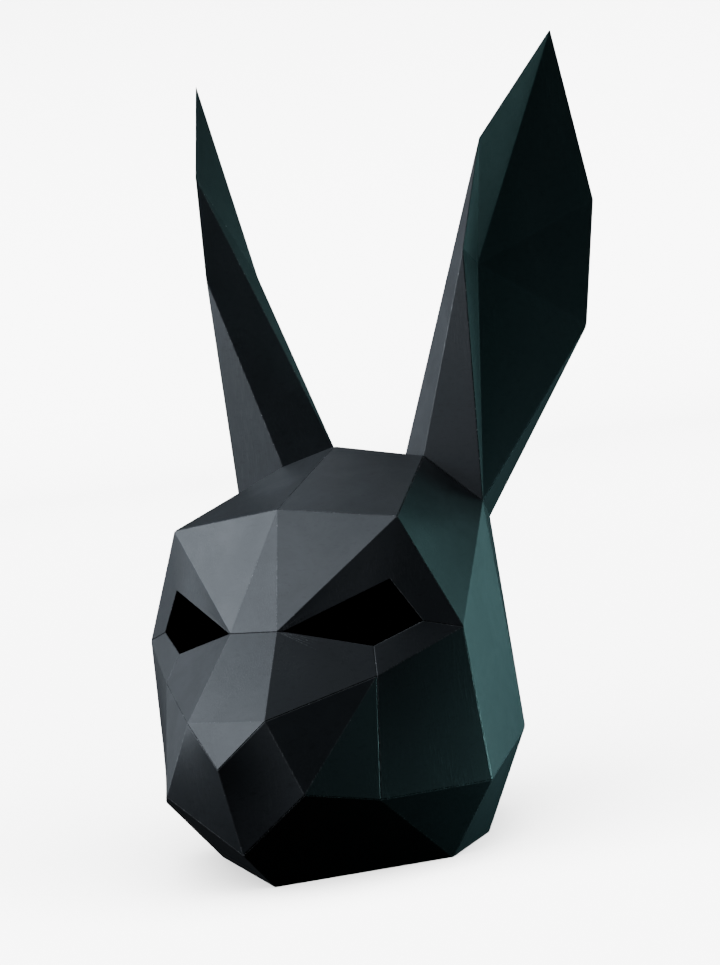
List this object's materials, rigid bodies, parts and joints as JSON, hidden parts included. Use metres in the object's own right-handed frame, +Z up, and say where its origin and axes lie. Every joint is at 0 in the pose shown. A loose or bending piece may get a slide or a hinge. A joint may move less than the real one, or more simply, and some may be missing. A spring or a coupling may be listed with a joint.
{
  "type": "paper animal mask",
  "caption": "Full-head rabbit mask folded from flat card panels, with two tall ears, eye holes and an open neck.",
  "frame": {"origin": "middle of the bounding box, at the height of the flat neck rim that the mask stands on", "axes": "+Z up, the face looks to -Y, +X points to the wearer's left"},
  "size_m": [0.3138, 0.3414, 0.5517],
  "materials": {
    "card": "matte",
    "ear_lining": "matte"
  },
  "bodies": {
    "root": {"brow": "card", "nose": "card", "muzzle": "card", "jaw": "card", "back_top": "card", "back": "card", "cheek_left": "card", "cheek_right": "card", "crown_left": "card", "crown_right": "card", "side_left": "card", "side_right": "card", "lower_side_left": "card", "lower_side_right": "card", "back_side_left": "card", "back_side_right": "card", "ear_shell_left": "card", "ear_shell_right": "card", "ear_lining_left": "ear_lining", "ear_lining_right": "ear_lining"}
  },
  "joints": []
}
